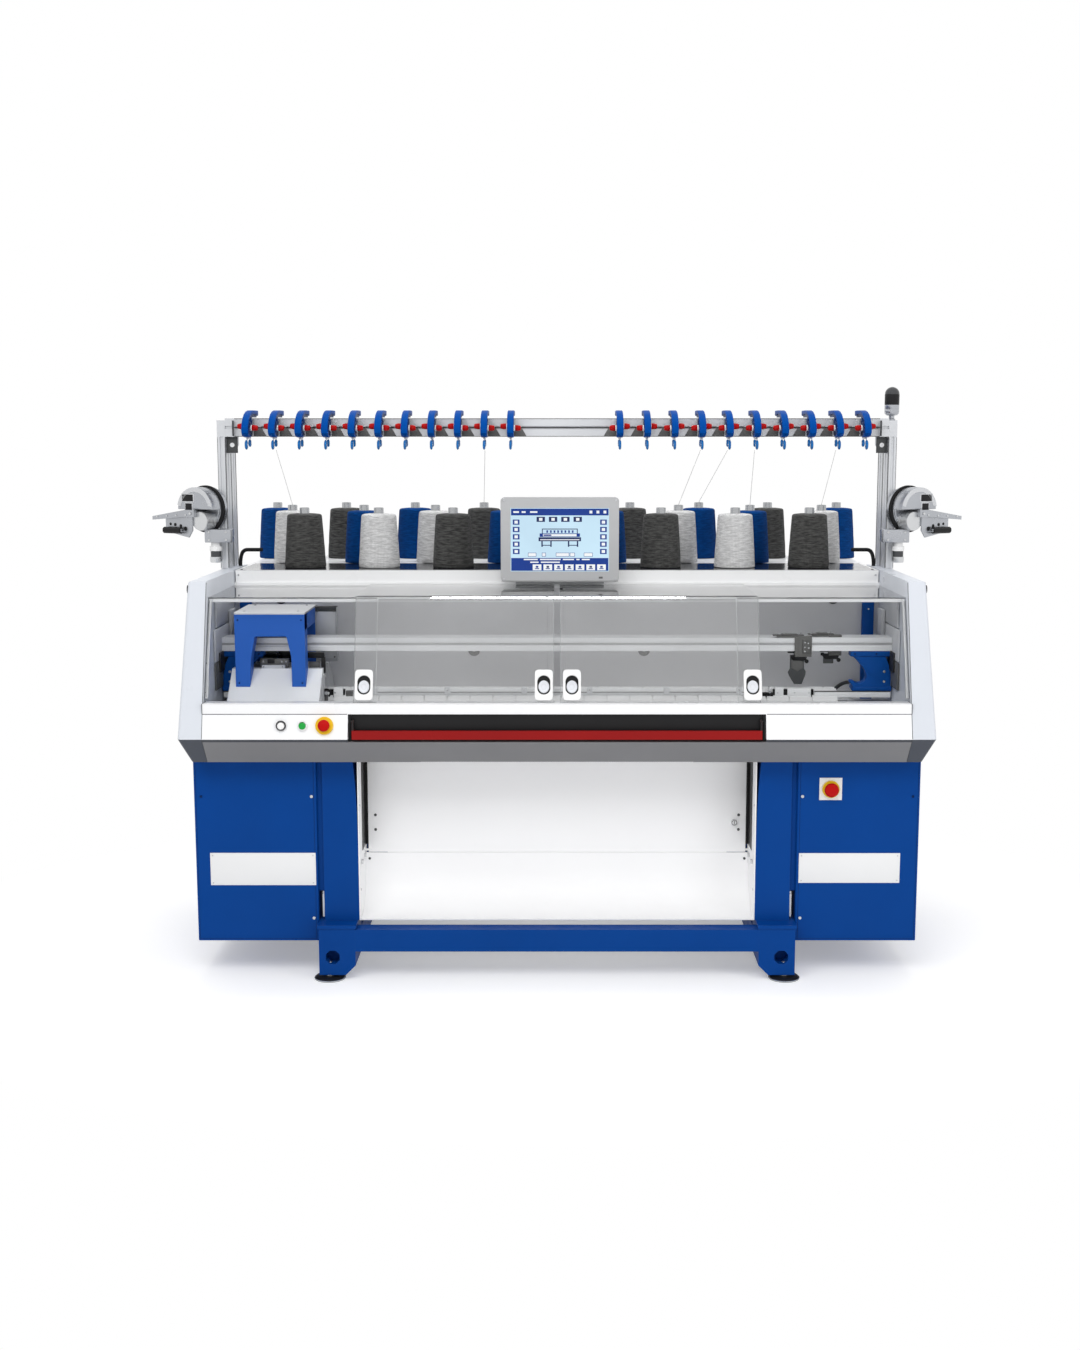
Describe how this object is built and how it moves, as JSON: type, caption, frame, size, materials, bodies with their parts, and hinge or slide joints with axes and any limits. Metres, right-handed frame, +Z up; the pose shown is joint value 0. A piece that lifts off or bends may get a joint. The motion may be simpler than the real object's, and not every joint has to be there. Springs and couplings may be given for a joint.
{
  "type": "flat_knitting_machine",
  "caption": "Computerised flat knitting machine with a sliding carriage, clear sliding covers, cone shelf, yarn frame, monitor and blue stands.",
  "frame": {"origin": "on the floor under the middle of the machine", "axes": "+X to the right along the needle beds, +Y to the back, +Z up"},
  "size_m": [2.9788, 1.4058, 2.042],
  "materials": {
    "blue_paint": "satin",
    "white_paint": "satin",
    "silver_paint": "satin",
    "grey_paint": "satin",
    "dark_metal": "satin",
    "black_plastic": "satin",
    "grey_plastic": "matte",
    "bare_steel": "satin",
    "aluminium": "satin",
    "zinc_steel": "satin",
    "clear_plastic": "glossy",
    "red_plastic": "satin",
    "yellow_plastic": "satin",
    "white_plastic": "satin",
    "green_plastic": "satin",
    "screen": "glossy",
    "yarn_dark": "matte",
    "yarn_light": "matte",
    "yarn_blue": "matte",
    "mat": "satin",
    "rubber": "matte"
  },
  "bodies": {
    "machine": {"stand": "blue_paint", "levelling_feet": "zinc_steel", "bed_base": "grey_paint", "needle_beds": "bare_steel", "end_covers": "silver_paint", "end_knobs": "black_plastic", "front_panels": "white_paint", "black_trim": "dark_metal", "apron": "grey_paint", "rear_wall": "grey_paint", "cabinets": "blue_paint", "end_windows": "clear_plastic", "shelf": "white_paint", "shelf_mat": "mat", "cones_dark": "yarn_dark", "cones_light": "yarn_light", "cones_blue": "yarn_blue", "cone_cores": "zinc_steel", "monitor_stand": "grey_paint", "yarn_frame": "aluminium", "unit_housings": "blue_paint", "unit_knobs": "red_plastic", "unit_arms": "white_plastic", "lamp": "zinc_steel", "feed_units": "silver_paint", "button_bezels": "yellow_plastic", "lower_panels": "white_paint", "rails": "aluminium", "rail_brackets": "blue_paint", "hoses": "rubber", "yarns": "yarn_light"},
    "carriage": {"carriage_bow": "blue_paint", "carriage_covers": "grey_paint"},
    "feeder_one": {"feeder_1": "dark_metal"},
    "feeder_two": {"feeder_2": "dark_metal"},
    "feeder_three": {"feeder_3": "dark_metal"},
    "left_cover": {"cover_left": "clear_plastic", "handles_left": "white_plastic"},
    "right_cover": {"cover_right": "clear_plastic", "handles_right": "white_plastic"},
    "latch_left_outer": {"thumb_left_outer": "zinc_steel"},
    "latch_left_inner": {"thumb_left_inner": "zinc_steel"},
    "latch_right_inner": {"thumb_right_inner": "zinc_steel"},
    "latch_right_outer": {"thumb_right_outer": "zinc_steel"},
    "bar": {"start_bar": "red_plastic"},
    "white_button": {"button_white": "white_plastic"},
    "green_button": {"button_green": "green_plastic"},
    "panel_stop": {"estop_panel": "red_plastic"},
    "cabinet_stop": {"estop_cabinet": "red_plastic"},
    "arm": {"monitor_arm": "dark_metal"},
    "monitor": {"monitor_housing": "grey_plastic", "monitor_screen": "screen"},
    "lower_flap": {"flap": "white_paint"},
    "flap_catch": {"flap_latch": "zinc_steel"},
    "roller_front": {"takedown_roller_front": "rubber"},
    "roller_back": {"takedown_roller_back": "rubber"},
    "lever_left": {"feed_lever_left": "zinc_steel"},
    "lever_right": {"feed_lever_right": "zinc_steel"},
    "wheel_left": {"feed_roller_left": "black_plastic"},
    "wheel_right": {"feed_roller_right": "black_plastic"}
  },
  "joints": [
    {"name": "carriage_travel", "type": "slide", "parent": "machine", "child": "carriage", "axis": [1, 0, 0], "range_m": [0, 1.885]},
    {"name": "feeder_1_travel", "type": "slide", "parent": "machine", "child": "feeder_one", "axis": [1, 0, 0], "range_m": [-1.834, 0.11]},
    {"name": "feeder_2_travel", "type": "slide", "parent": "machine", "child": "feeder_two", "axis": [1, 0, 0], "range_m": [-1.944, 0]},
    {"name": "feeder_3_travel", "type": "slide", "parent": "machine", "child": "feeder_three", "axis": [1, 0, 0], "range_m": [-0.022, 1.922]},
    {"name": "left_cover_travel", "type": "slide", "parent": "machine", "child": "left_cover", "axis": [-1, 0, 0], "range_m": [0, 0.49]},
    {"name": "right_cover_travel", "type": "slide", "parent": "machine", "child": "right_cover", "axis": [1, 0, 0], "range_m": [0, 0.49]},
    {"name": "start_bar_tilt", "type": "hinge", "parent": "machine", "child": "bar", "pos_m": [0, -0.65607, 0.925], "axis": [1, 0, 0], "range_deg": [-8, 0], "stiffness_Nm_per_rad": 12},
    {"name": "white_button_push", "type": "slide", "parent": "machine", "child": "white_button", "axis": [0, 0.9597, -0.2812], "range_m": [0, 0.004], "stiffness_N_per_m": 500},
    {"name": "green_button_push", "type": "slide", "parent": "machine", "child": "green_button", "axis": [0, 0.9597, -0.2812], "range_m": [0, 0.004], "stiffness_N_per_m": 500},
    {"name": "panel_stop_push", "type": "slide", "parent": "machine", "child": "panel_stop", "axis": [0, 0.9597, -0.2812], "range_m": [0, 0.004]},
    {"name": "cabinet_stop_push", "type": "slide", "parent": "machine", "child": "cabinet_stop", "axis": [0, 1, 0], "range_m": [0, 0.004]},
    {"name": "monitor_swivel", "type": "hinge", "parent": "machine", "child": "arm", "pos_m": [0.01, -0.077, 1.342], "axis": [0, 0, 1], "range_deg": [-15, 15]},
    {"name": "monitor_tilt", "type": "hinge", "parent": "arm", "child": "monitor", "pos_m": [0.01, -0.077, 1.48], "axis": [1, 0, 0], "range_deg": [-15, 3]},
    {"name": "flap_fold", "type": "hinge", "parent": "machine", "child": "lower_flap", "pos_m": [0, -0.338, 0.404], "axis": [1, 0, 0], "range_deg": [0, 70]},
    {"name": "flap_catch_turn", "type": "hinge", "parent": "lower_flap", "child": "flap_catch", "pos_m": [0.63, -0.341, 0.505], "axis": [0, 1, 0], "range_deg": [0, 90]},
    {"name": "takedown_front", "type": "hinge", "parent": "machine", "child": "roller_front", "pos_m": [0, -0.264, 0.64], "axis": [1, 0, 0], "continuous": true},
    {"name": "takedown_back", "type": "hinge", "parent": "machine", "child": "roller_back", "pos_m": [0, -0.206, 0.64], "axis": [1, 0, 0], "continuous": true},
    {"name": "latch_left_outer_slide", "type": "slide", "parent": "left_cover", "child": "latch_left_outer", "axis": [0, 0.3268, 0.9451], "range_m": [0, 0.008], "stiffness_N_per_m": 300},
    {"name": "latch_left_inner_slide", "type": "slide", "parent": "left_cover", "child": "latch_left_inner", "axis": [0, 0.3268, 0.9451], "range_m": [0, 0.008], "stiffness_N_per_m": 300},
    {"name": "latch_right_inner_slide", "type": "slide", "parent": "right_cover", "child": "latch_right_inner", "axis": [0, 0.3268, 0.9451], "range_m": [0, 0.008], "stiffness_N_per_m": 300},
    {"name": "latch_right_outer_slide", "type": "slide", "parent": "right_cover", "child": "latch_right_outer", "axis": [0, 0.3268, 0.9451], "range_m": [0, 0.008], "stiffness_N_per_m": 300},
    {"name": "lever_left_swing", "type": "hinge", "parent": "machine", "child": "lever_left", "pos_m": [-1.32721, -0.06423, 1.586], "axis": [-0.4695, -0.8829, 0], "range_deg": [-6, 6]},
    {"name": "wheel_left_spin", "type": "hinge", "parent": "lever_left", "child": "wheel_left", "pos_m": [-1.4039, -0.03592, 1.524], "axis": [-0.8829, 0.4695, 0], "continuous": true},
    {"name": "lever_right_swing", "type": "hinge", "parent": "machine", "child": "lever_right", "pos_m": [1.32721, -0.06423, 1.586], "axis": [0.4695, -0.8829, 0], "range_deg": [-6, 6]},
    {"name": "wheel_right_spin", "type": "hinge", "parent": "lever_right", "child": "wheel_right", "pos_m": [1.4039, -0.03592, 1.524], "axis": [0.8829, 0.4695, 0], "continuous": true}
  ],
  "couplings": [
    {"joint": "takedown_back", "follows": "takedown_front", "ratio": -1}
  ]
}
